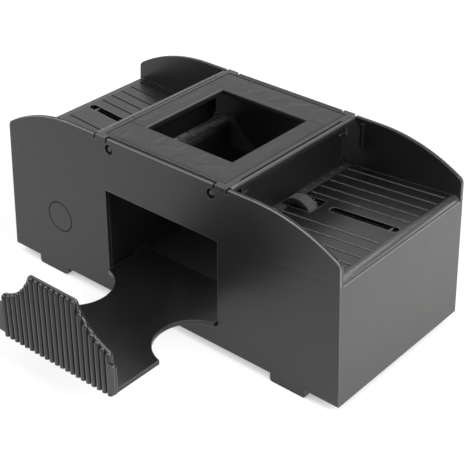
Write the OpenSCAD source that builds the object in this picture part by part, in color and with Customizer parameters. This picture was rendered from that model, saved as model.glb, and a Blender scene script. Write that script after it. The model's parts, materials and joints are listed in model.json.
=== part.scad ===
// Two-deck card shuffler: two card trays, a roller in each that throws cards inwards,
// a framed opening over the middle, and a ribbed drawer that collects the shuffled deck.
// Millimetres. +Z is up, the drawer opens towards -Y, +X is the right-hand tray.

/* [Casing] */
// Length of the casing at the foot of the walls
body_l = 210; // [200:1:225]
// Depth of the casing, front face to rear face
body_d = 96.3; // [95:0.1:102]
// Height of the front and rear walls above the table
body_h = 90; // [88:0.5:96]
// Thickness of the casing walls
wall = 2.2; // [1.8:0.1:2.6]
// Inward lean of the end walls in degrees
end_draft = 2.7; // [1:0.1:3.5]
// Half length of the flat stretch on top of the front and rear walls
arch_flat = 55; // [50:1:60]
// Radius of the arches at both ends of the front and rear walls
arch_r = 88; // [84:1:110]
// Corner radius where an arch meets the end of its wall
ear_r = 4; // [2:0.5:6]
// Height of the feet
foot_h = 4.5; // [3:0.1:6]
// Length of each foot
foot_l = 20.2; // [14:0.1:26]
// Depth of each foot
foot_d = 8; // [5:0.5:12]
// Distance of each foot's middle from the middle of the casing
foot_x = 76.7; // [70:0.1:84]
// Thickness of the bottom cover
base_t = 2.2; // [1.8:0.1:3]
// Gap between moulded pieces that only lie beside each other
fit_gap = 0.25; // [0.15:0.05:0.4]

/* [Card well and front opening] */
// Width of the opening in the front wall
mouth_w = 70.4; // [69:0.1:74]
// Height of the top of the front opening above the table
mouth_top = 61.9; // [58:0.1:63]
// Half distance between the inner side walls of the card well
well_x = 36.1; // [35.8:0.1:37]
// Thickness of the card well's walls and floor
well_t = 2; // [1.8:0.1:2.4]
// Height of the card well's floor above the table
well_floor = 15.5; // [14.5:0.1:17]

/* [Trays] */
// Height of each tray's outer edge above the table
tray_edge = 68.6; // [68:0.1:71]
// Fall of each tray towards the middle in degrees
tray_slope = 4.3; // [3:0.1:5]
// Thickness of the trays
tray_t = 2; // [1.6:0.1:2.2]
// Height of the rim that stands on the end wall
rim_h = 3; // [2.6:0.1:4]
// Width of the grooves in the trays
groove_w = 0.9; // [0.6:0.1:1.4]
// Depth of the grooves in the trays
groove_deep = 0.5; // [0.3:0.1:0.8]
// Distance between neighbouring grooves
groove_pitch = 7.25; // [6.8:0.05:7.4]
// Distance of the first groove from the middle
groove_first = 11.6; // [11:0.1:12.4]
// Number of grooves on each half of a tray
groove_n = 5; // [3:1:5]
// Width of the long slot in each tray
slot_w = 4.3; // [3:0.1:5]
// Length of the long slot in each tray
slot_l = 37.5; // [25:0.5:38]
// Distance of the slot's middle line from the middle of the tray
slot_y = 3; // [2.6:0.1:4]

/* [Top frame] */
// Width of the square opening along the casing
window_x = 53.2; // [50:0.1:54]
// Width of the square opening across the casing
window_y = 55.6; // [50:0.1:58]
// Half width of the padded border along the casing
pad_x = 36.9; // [36:0.1:37.2]
// Half width of the padded border across the casing
pad_y = 44.6; // [43:0.1:44.8]
// Thickness of the padded border
pad_t = 1; // [0.8:0.1:1.2]
// Half width of the frame along the casing
frame_x = 41.6; // [41.4:0.1:43]
// Thickness of the frame
frame_t = 2.4; // [2:0.1:2.8]
// Length of each of the frame's four ears
ear_l = 6.2; // [5:0.1:7]
// Distance of each ear's middle from the middle
ear_x = 36.7; // [35:0.1:37.5]
// Diameter of the frame's snap pegs
peg_d = 3.2; // [2.6:0.1:3.6]
// Diameter of the holes in the walls that the pegs sit in
peg_hole_d = 5.1; // [4.6:0.1:5.6]
// Distance of the pegs from the middle
peg_x = 31.3; // [29:0.1:32]
// Distance of the pegs below the top of the walls
peg_drop = 5.1; // [4.6:0.1:6]

/* [Gates] */
// Distance of each gate from the middle
gate_x = 40; // [39.8:0.1:40.2]
// Half width of each gate
gate_y = 37; // [34:0.5:38]
// Thickness of each gate
gate_t = 1.6; // [1.2:0.1:2]
// Gap between each gate's lower edge and the tray
gate_gap = 3.5; // [3.4:0.1:5]
// Radius of each gate's lower corners
gate_r = 6; // [3:0.5:7]
// Distance of the gate pivots below the top of the walls
gate_drop = 6.2; // [6.1:0.1:6.6]
// Diameter of the gate pivots
gate_pin_d = 2.4; // [2:0.1:3]
// Running clearance all round a turning pin
run_gap = 0.05; // [0.03:0.01:0.08]
// Clearance all round the start button
slide_gap = 0.1; // [0.05:0.01:0.2]

/* [Card drawer] */
// Distance that the drawer stands open
drawer_out = 66; // [40:1:70]
// Width of the drawer's floor
drawer_w = 68.8; // [67:0.1:69.2]
// Length of the drawer's floor behind its front panel
drawer_l = 92.3; // [90:0.1:93]
// Thickness of the drawer's floor
drawer_t = 2.3; // [1.8:0.1:2.6]
// Thickness of the drawer's front panel
panel_t = 1.2; // [1:0.1:2]
// Height of the front panel's flat top above the table
panel_top = 56.5; // [54:0.1:58]
// Radius of the hollow on each side of the front panel
panel_r = 27.4; // [26:0.1:28]
// Radius of the finger cut-outs in the drawer's floor
finger_r = 18.7; // [15:0.1:20]
// Distance of the centres of the finger cut-outs from the middle
finger_x = 38; // [36:0.1:40]
// Radius of the half-round ribs on the front panel
rib_r = 1.45; // [1:0.05:1.5]
// Distance between neighbouring ribs
rib_pitch = 3.3; // [3.2:0.05:3.3]

/* [Feed rollers] */
// Radius of a feed roller over its tyre
roller_r = 9.4; // [9.2:0.1:9.5]
// Width of a feed roller
roller_w = 6.2; // [5:0.1:6.8]
// Thickness of a roller's tyre
tyre_t = 1.8; // [1.2:0.1:2.4]
// Distance of each roller's axle from the middle
axle_x = 45.9; // [45.8:0.1:46.3]
// Height of the top of each roller above the tray at its axle
roller_up = 4.4; // [4:0.1:4.5]
// Diameter of the roller axles
axle_d = 3; // [2.5:0.1:3]
// Gear module
gear_m = 0.5; // [0.46:0.01:0.5]
// Diameter of the motors
motor_d = 20; // [18:0.5:21]
// Length of the motors
motor_l = 25; // [20:0.5:27]
// Diameter of the motor shafts and the idler pins
shaft_d = 2; // [1.6:0.1:2]

/* [Start button] */
// Diameter of the start button
button_d = 16; // [12:0.1:18]
// Distance of the button to the left of the middle
button_x = 68.8; // [66:0.1:72]
// Height of the button's middle above the table
button_z = 34.2; // [32:0.1:38]
// Travel of the button
button_travel = 1.8; // [1:0.1:2]

/* [Batteries] */
// Diameter of a battery
cell_d = 14.2; // [13.8:0.1:14.5]
// Length of a battery without its nub
cell_l = 49.2; // [48:0.1:50]

/* [Hidden] */
$fn = 48;

// Finish colours
case_color = [0.2, 0.2, 0.21];
dark_color = [0.15, 0.15, 0.16];
leather_color = [0.24, 0.24, 0.24];
steel_color = [0.72, 0.73, 0.75];
gear_color = [0.2, 0.2, 0.2];

// Places that follow from the sizes above
face_y = body_d / 2;
in_y = face_y - wall;
side_y = in_y - fit_gap;
drawer_bottom = well_floor + 0.2;
drawer_top = drawer_bottom + drawer_t;
panel_y = -(face_y + fit_gap + drawer_out);
front_y = panel_y - panel_t - rib_r;
// The origin lies under the middle of the whole object, drawer included
shift_y = -(front_y + face_y) / 2;
end_tan = tan(end_draft);
rim_z = tray_edge - rim_h;
base_z = foot_h + 0.1;
base_top = base_z + base_t;
well_out = well_x + well_t;
frame_z = body_h - frame_t;
peg_z = body_h - peg_drop;
gate_pivot_z = body_h - gate_drop;

// Half length of the casing at height z
function end_x(z) = body_l / 2 - end_tan * (z - foot_h);
tray_out = end_x(tray_edge);
// Height of a tray's upper face at distance x from the middle
function tray_z(x) = tray_edge - tan(tray_slope) * (tray_out - x);
// Height of the apron that each tray hangs over the card well's wall
apron_h = 3.2;
well_top = tray_z(well_x) - apron_h;
gate_low = tray_z(gate_x) + gate_gap;
gate_top = frame_z - 0.3;
axle_z = tray_z(axle_x) + roller_up - roller_r;

// Draws an outline, seen from the front, as a slab between two depths
module slab(y0, y1) {
  translate([0, y1, 0])
    rotate([90, 0, 0])
      linear_extrude(y1 - y0)
        children();
}

// A round bar along the depth
module bar_y(x, z, r, y0, y1, sides = 48) {
  translate([x, y1, z])
    rotate([90, 0, 0])
      cylinder(r = r, h = y1 - y0, $fn = sides);
}

module placed() {
  translate([0, shift_y, 0])
    children();
}

// s is 1 for the right-hand side and -1 for its mirror image on the left
module on_side(s) {
  translate([0, shift_y, 0])
    mirror([s < 0 ? 1 : 0, 0, 0])
      children();
}

module at_corners(x, y) {
  for (sx = [-1, 1])
    for (sy = [-1, 1])
      translate([sx * x, sy * y, 0])
        children();
}

// Casing

arch_z = body_h - arch_r;
lean_x = cos(end_draft);
lean_z = sin(end_draft);
lean_p = body_l / 2 * lean_x + foot_h * lean_z;
ear_q = lean_p - ear_r - arch_flat * lean_x - arch_z * lean_z;
ear_up = sqrt(pow(arch_r - ear_r, 2) - ear_q * ear_q);
ear_c = [arch_flat + ear_q * lean_x - ear_up * lean_z, arch_z + ear_q * lean_z + ear_up * lean_x];
ear_a = [ear_c[0] - arch_flat, ear_c[1] - arch_z] / (arch_r - ear_r) * ear_r * 2;
ear_b = [lean_x, lean_z] * ear_r * 2;

// Front view of the front and rear walls
module wall_outline() {
  difference() {
    intersection() {
      polygon([
        [-end_x(foot_h), foot_h], [end_x(foot_h), foot_h],
        [end_x(body_h), body_h], [-end_x(body_h), body_h]
      ]);
      union() {
        translate([-arch_flat, foot_h])
          square([2 * arch_flat, body_h - foot_h]);
        for (s = [-1, 1])
          translate([s * arch_flat, arch_z])
            circle(r = arch_r, $fn = 160);
      }
    }
    for (s = [0, 1])
      mirror([s, 0])
        difference() {
          polygon([ear_c, ear_c + ear_a, ear_c + ear_a + ear_b, ear_c + ear_b]);
          translate(ear_c)
            circle(r = ear_r);
        }
  }
}

boss_r = 3.2;
boss_h = 20;
boss_x = end_x(foot_h) - wall - 6;
boss_y = in_y - 5;
boss_mid_x = well_out + 5;
pilot_r = 1.1;
// Middle of each screw boss: four in the corners and two beside the card well at the rear
boss_at = [
  [-boss_x, -boss_y], [boss_x, -boss_y], [-boss_x, boss_y], [boss_x, boss_y],
  [-boss_mid_x, boss_y], [boss_mid_x, boss_y]
];
boss_z = base_top + 2;
notch_h = 2.2;
notch_gap = 1.3;
button_lip = 1.2;
cage_x = button_d / 2 + button_lip + 0.6;
cage_t = 1.6;
cage_h = 10;
cage_deep = 17;
cage_back = -in_y + cage_deep;
foot_r = 1.6;
// Upright ribs on the inside of the long walls, beside the frame
guide_x = 46;
guide_t = 1.2;
guide_out = 1.6;
guide_h = 12;
guide_drop = 2;

// Front view of a foot, with round lower corners
module foot_outline() {
  translate([-foot_l / 2, foot_r])
    square([foot_l, foot_h - foot_r]);
  translate([-foot_l / 2 + foot_r, 0])
    square([foot_l - 2 * foot_r, foot_r + 0.1]);
  for (sx = [-1, 1])
    translate([sx * (foot_l / 2 - foot_r), foot_r])
      circle(r = foot_r);
}

module housing() {
  color(case_color)
    placed()
      difference() {
        union() {
          slab(-face_y, -in_y)
            wall_outline();
          slab(in_y, face_y)
            wall_outline();
          for (s = [0, 1])
            mirror([s, 0, 0])
              slab(-in_y - wall / 2, in_y + wall / 2)
                polygon([
                  [end_x(foot_h), foot_h], [end_x(rim_z), rim_z],
                  [end_x(rim_z) - wall, rim_z], [end_x(foot_h) - wall, foot_h]
                ]);
          at_corners(foot_x, face_y - foot_d / 2)
            slab(-foot_d / 2, foot_d / 2)
              foot_outline();
          for (sx = [-1, 1])
            for (y = [-in_y - wall / 2, in_y - guide_out])
              translate([sx * guide_x - guide_t / 2, y, body_h - guide_drop - guide_h])
                cube([guide_t, guide_out + wall / 2, guide_h]);
          // Screw bosses, each with a web to the nearest long wall
          for (p = boss_at) {
            translate([p[0], p[1], boss_z])
              cylinder(r = boss_r, h = boss_h);
            translate([p[0] - 0.8, p[1] > 0 ? p[1] : -in_y - wall / 2, boss_z])
              cube([1.6, in_y + wall / 2 - boss_y, boss_h]);
          }
          // Cage that holds the switch behind the start button
          for (sx = [-1, 1])
            translate([-button_x + sx * cage_x - (sx < 0 ? cage_t : 0), -in_y - wall / 2, button_z - cage_h / 2])
              cube([cage_t, cage_deep + wall / 2, cage_h]);
        }
        translate([-mouth_w / 2, -face_y - 1, well_floor - 0.2])
          cube([mouth_w, wall + 1.4, mouth_top - well_floor + 0.2]);
        bar_y(-button_x, button_z, button_d / 2 + slide_gap, -face_y - 1, -in_y + 0.5);
        for (sx = [-1, 1])
          for (y = [-face_y - 1, in_y - 0.5])
            bar_y(sx * peg_x, peg_z, peg_hole_d / 2, y, y + wall + 1.5);
        at_corners(ear_x, face_y - wall / 2)
          translate([-ear_l / 2 - notch_gap, -wall, body_h - notch_h])
            cube([ear_l + 2 * notch_gap, 2 * wall, notch_h + 1]);
        for (p = boss_at)
          translate([p[0], p[1], boss_z - 1])
            cylinder(r = pilot_r, h = boss_h - 3, $fn = 24);
      }
}

// Bottom cover with its battery box

cell_pitch = cell_d + 0.7;
cell_room = 0.3;
box_wall = 1.6;
box_top = base_top + 2 * (cell_pitch + cell_room);
// The box stands against the right-hand end wall, with two cells beside each other on each of two levels
box_x1 = end_x(box_top + box_wall) - wall - fit_gap - box_wall;
box_x0 = box_x1 - 2 * (cell_pitch + cell_room);
box_y = cell_l / 2 + 2.8;
door_x0 = box_x0 + 0.6;
door_x1 = box_x1 - 0.6;
door_y = box_y - 0.6;
hinge_r = 0.6;
hinge_z = base_z + base_t / 2;
hinge_x = door_x0 + base_t / 2;
hinge_reach = 2.4;
tongue_t = 1;
tongue_h = 2.5;
stiffener_t = 1.4;
stiffener_h = 3;
stiffener_n = 3;

// Middle of each cell, and whether its nub points to the rear
function cell_x(i) = box_x0 + cell_room + cell_pitch * (i % 2 + 0.5);
function cell_z(i) = base_top + cell_room + cell_pitch * (floor(i / 2) + 0.5);
function cell_turned(i) = (i + floor(i / 2)) % 2 == 1;

module base_cover() {
  color(dark_color)
    placed()
      difference() {
        union() {
          translate([-end_x(base_top) + wall + fit_gap, -side_y, base_z])
            cube([2 * (end_x(base_top) - wall - fit_gap), 2 * side_y, base_t]);
          translate([box_x0 - box_wall, -box_y - box_wall, base_z])
            cube([box_x1 - box_x0 + 2 * box_wall, 2 * (box_y + box_wall), box_top + box_wall - base_z]);
          for (p = boss_at)
            translate([p[0], p[1], base_z])
              cylinder(r = boss_r + 0.8, h = boss_z - base_z);
          // Stiffening ribs under the empty left half
          for (i = [1:stiffener_n])
            translate([-boss_mid_x - i * (boss_x - boss_mid_x) / (stiffener_n + 1), -box_y, base_top - 0.1])
              cube([stiffener_t, 2 * box_y, stiffener_h + 0.1]);
        }
        translate([box_x0, -box_y, base_top])
          cube([box_x1 - box_x0, 2 * box_y, box_top - base_top]);
        translate([door_x0 - fit_gap, -door_y - fit_gap, base_z - 1])
          cube([door_x1 - door_x0 + 2 * fit_gap, 2 * (door_y + fit_gap), base_t + 2]);
        // Bores for the door's two hinge pins
        bar_y(hinge_x, hinge_z, hinge_r + run_gap, -door_y - hinge_reach - 0.4, door_y + hinge_reach + 0.4, 24);
        for (p = boss_at) {
          translate([p[0], p[1], base_z - 1])
            cylinder(r = pilot_r + 0.2, h = boss_z - base_z + 2, $fn = 24);
          translate([p[0], p[1], base_z - 1])
            cylinder(r = 2.8, h = 3.1);
        }
      }
}

module battery_door() {
  color(dark_color)
    placed() {
      difference() {
        union() {
          translate([hinge_x, -door_y, base_z])
            cube([door_x1 - hinge_x, 2 * door_y, base_t]);
          bar_y(hinge_x, hinge_z, base_t / 2, -door_y, door_y);
          bar_y(hinge_x, hinge_z, hinge_r, -door_y - hinge_reach, door_y + hinge_reach, 24);
        }
        // Thumb grip: a row of shallow grooves near the free edge
        for (i = [0:4])
          translate([door_x1 - 5 - 2 * i, -9, base_z - 1])
            cube([0.9, 18, 1.5]);
      }
      // Latch tongue inside the battery box
      translate([door_x1 - 0.4 - tongue_t, -5, base_top - 0.1])
        cube([tongue_t, 10, tongue_h + 0.1]);
    }
}

// Batteries and contacts

nub_r = 2.6;
nub_h = 1.1;
contact_t = 0.4;
contact_w = 9;
spring_r = 3.4;
contact_r = 2;

module battery(i) {
  color([0.75, 0.6, 0.25])
    placed()
      translate([cell_x(i), 0, cell_z(i)])
        rotate([cell_turned(i) ? -90 : 90, 0, 0]) {
          translate([0, 0, -cell_l / 2])
            cylinder(r = cell_d / 2, h = cell_l);
          cylinder(r = nub_r, h = cell_l / 2 + nub_h);
        }
}

module battery_contacts() {
  room = box_y - contact_t - cell_l / 2;
  color(steel_color)
    placed()
      for (i = [0:3])
        translate([cell_x(i), 0, cell_z(i)])
          rotate([cell_turned(i) ? -90 : 90, 0, 0]) {
            for (z = [-box_y, box_y - contact_t])
              translate([-contact_w / 2, -contact_w / 2, z])
                cube([contact_w, contact_w, contact_t]);
            // The sprung contact at the flat end of each cell
            translate([0, 0, -box_y + contact_t])
              cylinder(r1 = spring_r, r2 = contact_r, h = room);
            translate([0, 0, cell_l / 2 + nub_h])
              cylinder(r = contact_r, h = room - nub_h);
          }
}

module case_screws() {
  color(steel_color)
    placed()
      for (p = boss_at)
        translate([p[0], p[1], base_z + 0.3]) {
          cylinder(r = 2.5, h = 1.8);
          cylinder(r = pilot_r, h = 14, $fn = 24);
        }
}

// Card well

bracket_y0 = -22;
bracket_y1 = 22;
bracket_z0 = 24;
bracket_z1 = 40;
bracket_t = 2;
screw_z = 28;
screw_y = 18.5;
screw_r = 1;
groove_in = 1.3;
relief_y0 = -5.6;
relief_y1 = 7.6;
relief_z = axle_z - roller_r - 0.8;

module card_well() {
  color(dark_color)
    placed()
      difference() {
        union() {
          translate([-well_out, -side_y, well_floor - well_t])
            cube([2 * well_out, 2 * side_y, well_t]);
          for (s = [0, 1])
            mirror([s, 0, 0])
              translate([well_x, -side_y, base_top])
                cube([well_t, 2 * side_y, well_top - base_top]);
        }
        for (s = [0, 1])
          mirror([s, 0, 0]) {
            // Groove that the drawer's rear lugs run in
            translate([well_x - 0.5, -side_y - 1, well_floor])
              cube([groove_in + 0.5, 2 * side_y + 2, drawer_top + 0.25 - well_floor]);
            // Relief for the roller
            translate([well_x - 1, relief_y0, relief_z])
              cube([well_t + 2, relief_y1 - relief_y0, well_top + 1 - relief_z]);
            for (sy = [-1, 1])
              translate([well_x + 0.5, sy * screw_y, screw_z])
                rotate([0, 90, 0])
                  cylinder(r = screw_r, h = well_t, $fn = 24);
          }
      }
}

// Trays

edge_r = 1.5;
rim_r = 2;
apron_x = well_x - 0.1;
apron_t = well_t;
groove_x0 = 41.2;
groove_x1 = tray_out - 5;
slot_x1 = tray_out - 5.2;
cut_gap = 0.55;
roller_gap = 0.4;
cut_half = sqrt(roller_r * roller_r - pow(tray_z(axle_x) - axle_z, 2)) + cut_gap;
fin_t = 0.8;
fin_c = [3.7, tray_edge + 11.9];
fin_r = 32.6;
fin_drop = 20.6;
fin_low = tray_edge - fin_drop;
fin_in = 20.5;
fin_up = 2.4;
slot_rib_x = tray_out - 10;
slot_rib_t = 0.8;
slot_rib_low = 0.7;

// Puts its children in the tilted plane of the right-hand tray: z = 0 is the upper face
// and x runs outwards from the middle of the object
module on_deck() {
  translate([tray_out, 0, tray_edge])
    rotate([0, -tray_slope, 0])
      translate([-tray_out, 0, 0])
        children();
}

module tray(s) {
  roll_z = tray_z(apron_x + edge_r) - edge_r;
  color(case_color)
    on_side(s) {
      // Rib across the long slot
      on_deck()
        translate([slot_rib_x, slot_y - slot_w / 2 - 0.1, -tray_t])
          cube([slot_rib_t, slot_w + 0.2, tray_t - slot_rib_low]);
      difference() {
        union() {
          // Deck, rolled inner edge and outer rim in one profile
          slab(-side_y, side_y) {
            polygon([
              [apron_x + edge_r, tray_z(apron_x + edge_r)], [tray_out - rim_r, tray_z(tray_out - rim_r)],
              [tray_out - rim_r, tray_z(tray_out - rim_r) - tray_t], [apron_x + edge_r, tray_z(apron_x + edge_r) - tray_t]
            ]);
            translate([apron_x + edge_r, roll_z])
              circle(r = edge_r);
            translate([apron_x, well_top])
              square([apron_t, roll_z - well_top]);
            intersection() {
              translate([tray_out - rim_r - 0.6, tray_edge - rim_r - 0.02])
                circle(r = rim_r + 0.02);
              translate([tray_out - rim_r - 0.6, tray_edge - rim_r])
                square([2 * rim_r, rim_r]);
            }
            polygon([
              [tray_out - rim_r - 0.6, tray_edge], [tray_out - rim_r - 0.6, rim_z],
              [end_x(rim_z), rim_z], [end_x(rim_z) - 0.6, tray_edge - rim_r]
            ]);
          }
          // Thin guide fin beside the rear ends of the falling cards
          slab(side_y - fin_t, side_y)
            difference() {
              union() {
                translate([fin_in, fin_low])
                  square([apron_x - fin_in, tray_z(apron_x) + fin_up - fin_low]);
                translate([fin_in, well_top])
                  square([apron_x + 0.5 - fin_in, tray_z(apron_x) + fin_up - well_top]);
              }
              translate(fin_c)
                circle(r = fin_r, $fn = 96);
            }
        }
        // Grooves under the cards
        on_deck()
          for (i = [0:groove_n - 1])
            for (sy = [-1, 1])
              translate([groove_x0, sy * (groove_first + i * groove_pitch) - groove_w / 2, -groove_deep])
                cube([groove_x1 - groove_x0, groove_w, 2]);
        // Long slot with round ends
        on_deck()
          translate([0, 0, -tray_t - 1])
            linear_extrude(tray_t + 2) {
              translate([slot_x1 - slot_l + slot_w / 2, slot_y - slot_w / 2])
                square([slot_l - slot_w, slot_w]);
              for (x = [slot_x1 - slot_l + slot_w / 2, slot_x1 - slot_w / 2])
                translate([x, slot_y])
                  circle(d = slot_w);
            }
        // Cut-out for the roller and its gear
        translate([axle_x - cut_half, relief_y0, axle_z])
          cube([2 * cut_half, relief_y1 - relief_y0, 12]);
        // Relief for the roller under and behind the inner edge
        bar_y(axle_x, axle_z, roller_r + roller_gap, relief_y0, relief_y1);
        translate([apron_x - 1, relief_y0, relief_z])
          cube([apron_t + 2, relief_y1 - relief_y0, tray_z(apron_x) - tray_t - relief_z]);
      }
    }
}

// Top frame with its padded border

lug_t = 2;
lug_y0 = gate_y + 0.4;
lug_w = 3.2;
lug_r = gate_pin_d / 2 + run_gap + 0.6;
skirt_t = 1.2;
skirt_z = peg_z - 2.6;
pad_z = body_h - 0.7;
wrap_t = 0.8;
hole_x = window_x / 2 + wrap_t;
hole_y = window_y / 2 + wrap_t;
bead_x = pad_x + 0.3;
ledge_x = frame_x - 2.2;
stop_t = 1.2;
stop_h = 2.8;
stop_y = 30;

module top_frame() {
  color(case_color)
    placed()
      difference() {
        union() {
          // Cross-section of the frame along its length: bead, groove and lower ledge at each end
          slab(-side_y, side_y)
            polygon([
              [-frame_x, frame_z], [frame_x, frame_z], [frame_x, body_h - 1], [frame_x - 0.4, body_h - 0.6],
              [ledge_x, body_h - 0.6], [ledge_x, body_h - 1.3], [ledge_x - 0.6, body_h - 1.3],
              [ledge_x - 0.6, body_h + 0.1], [ledge_x - 0.9, body_h + 0.3],
              [-ledge_x + 0.9, body_h + 0.3], [-ledge_x + 0.6, body_h + 0.1],
              [-ledge_x + 0.6, body_h - 1.3], [-ledge_x, body_h - 1.3], [-ledge_x, body_h - 0.6],
              [-frame_x + 0.4, body_h - 0.6], [-frame_x, body_h - 1]
            ]);
          // Ears that lie in the notches of the walls
          for (sx = [-1, 1])
            for (sy = [0, 1])
              mirror([0, sy, 0])
                translate([sx * ear_x - ear_l / 2, lug_y0, body_h - notch_h])
                  cube([ear_l, face_y - lug_y0, notch_h + 0.3]);
          // Skirts with the snap pegs
          for (sx = [-1, 1]) {
            for (y = [-side_y, side_y - skirt_t])
              translate([sx * peg_x - 3.4, y, skirt_z])
                cube([6.8, skirt_t, frame_z - skirt_z + 0.1]);
            for (y = [-in_y - wall + 1, side_y - 0.1])
              bar_y(sx * peg_x, peg_z, peg_d / 2, y, y + wall - 1 + fit_gap + 0.1, 32);
          }
          // Lugs that carry the gates
          for (sx = [-1, 1])
            for (sy = [-1, 1])
              translate([sx * gate_x - lug_w / 2, sy > 0 ? lug_y0 : -lug_y0 - lug_t, gate_pivot_z])
                cube([lug_w, lug_t, frame_z - gate_pivot_z + 0.1]);
          for (sx = [-1, 1])
            for (y = [lug_y0, -lug_y0 - lug_t])
              bar_y(sx * gate_x, gate_pivot_z, lug_r, y, y + lug_t, 32);
          // Stop ribs that keep the gates from swinging outwards
          for (s = [0, 1])
            mirror([s, 0, 0])
              translate([gate_x - gate_t / 2 - 2 * run_gap - stop_t, -stop_y, frame_z - stop_h])
                cube([stop_t, 2 * stop_y, stop_h + 0.1]);
        }
        translate([-hole_x, -hole_y, frame_z - 1])
          cube([2 * hole_x, 2 * hole_y, frame_t + 3]);
        // Seat of the padded border
        translate([-pad_x - 0.1, -pad_y - 0.1, pad_z])
          cube([2 * pad_x + 0.2, 2 * pad_y + 0.2, 3]);
        for (sx = [-1, 1])
          bar_y(sx * gate_x, gate_pivot_z, gate_pin_d / 2 + run_gap, -side_y, side_y, 32);
      }
}

module leather_trim() {
  color(leather_color)
    placed()
      difference() {
        union() {
          translate([-pad_x, -pad_y, pad_z])
            cube([2 * pad_x, 2 * pad_y, pad_t]);
          translate([-hole_x, -hole_y, frame_z])
            cube([2 * hole_x, 2 * hole_y, pad_z - frame_z + 0.1]);
        }
        translate([-window_x / 2, -window_y / 2, frame_z - 1])
          cube([window_x, window_y, frame_t + 3]);
      }
}

// Gates

notch_r = roller_r + 0.95;
pin_in = 3;

module gate(s) {
  color(dark_color)
    on_side(s)
      difference() {
        union() {
          // Panel with round lower corners
          translate([gate_x + gate_t / 2, 0, 0])
            rotate([90, 0, -90])
              linear_extrude(gate_t) {
                translate([-gate_y, gate_low + gate_r])
                  square([2 * gate_y, gate_top - gate_low - gate_r]);
                translate([-gate_y + gate_r, gate_low])
                  square([2 * (gate_y - gate_r), gate_r + 0.1]);
                for (sy = [-1, 1])
                  translate([sy * (gate_y - gate_r), gate_low + gate_r])
                    circle(r = gate_r);
              }
          // Short pivot pins at both ends
          for (sy = [0, 1])
            mirror([0, sy, 0])
              bar_y(gate_x, gate_pivot_z, gate_pin_d / 2, gate_y - pin_in, lug_y0 + lug_t, 32);
        }
        // Arched notch over the roller
        bar_y(axle_x, axle_z, notch_r, roller_y0 - 0.9, roller_y1 + 0.9);
      }
}

// Card drawer

finger_y = panel_y + drawer_l / 2;
hollow_c = [drawer_w / 2 + 6.5, panel_top + 8.4];
rib_n = floor((drawer_w / 2 - 1.2) / rib_pitch);
tab_out = 3;
tab_t = 1.6;
tab_top = 33.5;
tab_r = 1.2;
corner_r = 1.8;
lug_len = 8;
lug_out = groove_in - 0.25;

// Height of the front panel's outline at distance x from its middle
function panel_z(x) = abs(x) > hollow_c[0] - panel_r
  ? min(panel_top, hollow_c[1] - sqrt(max(0, panel_r * panel_r - pow(hollow_c[0] - abs(x), 2))))
  : panel_top;

// Removes a corner beyond a rounding with its middle at c, between two directions a and b
module round_off(c, r, a, b) {
  difference() {
    polygon([c, c + 3 * r * a, c + 3 * r * (a + b), c + 3 * r * b]);
    translate(c)
      circle(r = r);
  }
}

// Front view of the drawer's front panel
module panel_outline() {
  reach = panel_r + corner_r;
  // Middles of the roundings at the flat top and at the shoulder
  top_z = panel_top - corner_r;
  top_c = [hollow_c[0] - sqrt(reach * reach - pow(hollow_c[1] - top_z, 2)), top_z];
  side_x = drawer_w / 2 - corner_r;
  side_c = [side_x, hollow_c[1] - sqrt(reach * reach - pow(hollow_c[0] - side_x, 2))];
  difference() {
    translate([-drawer_w / 2, drawer_bottom])
      square([drawer_w, panel_top - drawer_bottom]);
    for (s = [0, 1])
      mirror([s, 0]) {
        translate(hollow_c)
          circle(r = panel_r, $fn = 128);
        round_off(top_c, corner_r, [0, 1], (hollow_c - top_c) / reach);
        round_off(side_c, corner_r, (hollow_c - side_c) / reach, [1, 0]);
      }
  }
}

module card_drawer() {
  color(dark_color)
    placed() {
      // Floor with its finger cut-outs
      translate([0, 0, drawer_bottom])
        linear_extrude(drawer_t)
          difference() {
            union() {
              translate([-drawer_w / 2, panel_y])
                square([drawer_w, drawer_l]);
              // Rear lugs that run in the grooves of the card well
              translate([-well_x - lug_out, panel_y + drawer_l - lug_len])
                square([2 * (well_x + lug_out), lug_len]);
            }
            for (sx = [-1, 1])
              translate([sx * finger_x, finger_y])
                circle(r = finger_r, $fn = 96);
          }
      // Front panel
      slab(panel_y - panel_t, panel_y + 0.01)
        panel_outline();
      // Half-round ribs, each ending just under the panel's outline
      for (i = [-rib_n:rib_n])
        translate([i * rib_pitch, panel_y - panel_t, 0]) {
          rib_top = min(panel_z(i * rib_pitch) - rib_r - 0.4, panel_z(abs(i * rib_pitch) + rib_r) - 0.2);
          translate([0, 0, drawer_bottom])
            cylinder(r = rib_r, h = rib_top - drawer_bottom, $fn = 20);
          translate([0, 0, rib_top])
            sphere(r = rib_r, $fn = 20);
        }
      // Side tabs that stop against the casing when the drawer is shut
      for (s = [0, 1])
        mirror([s, 0, 0])
          slab(front_y, front_y + tab_t) {
            translate([drawer_w / 2 - rib_r, drawer_top])
              square([tab_out + rib_r - tab_r, tab_top - drawer_top]);
            translate([drawer_w / 2 - rib_r, drawer_top + tab_r])
              square([tab_out + rib_r, tab_top - drawer_top - 2 * tab_r]);
            for (z = [drawer_top + tab_r, tab_top - tab_r])
              translate([drawer_w / 2 + tab_out - tab_r, z])
                circle(r = tab_r);
          }
    }
}

// Drive

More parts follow.
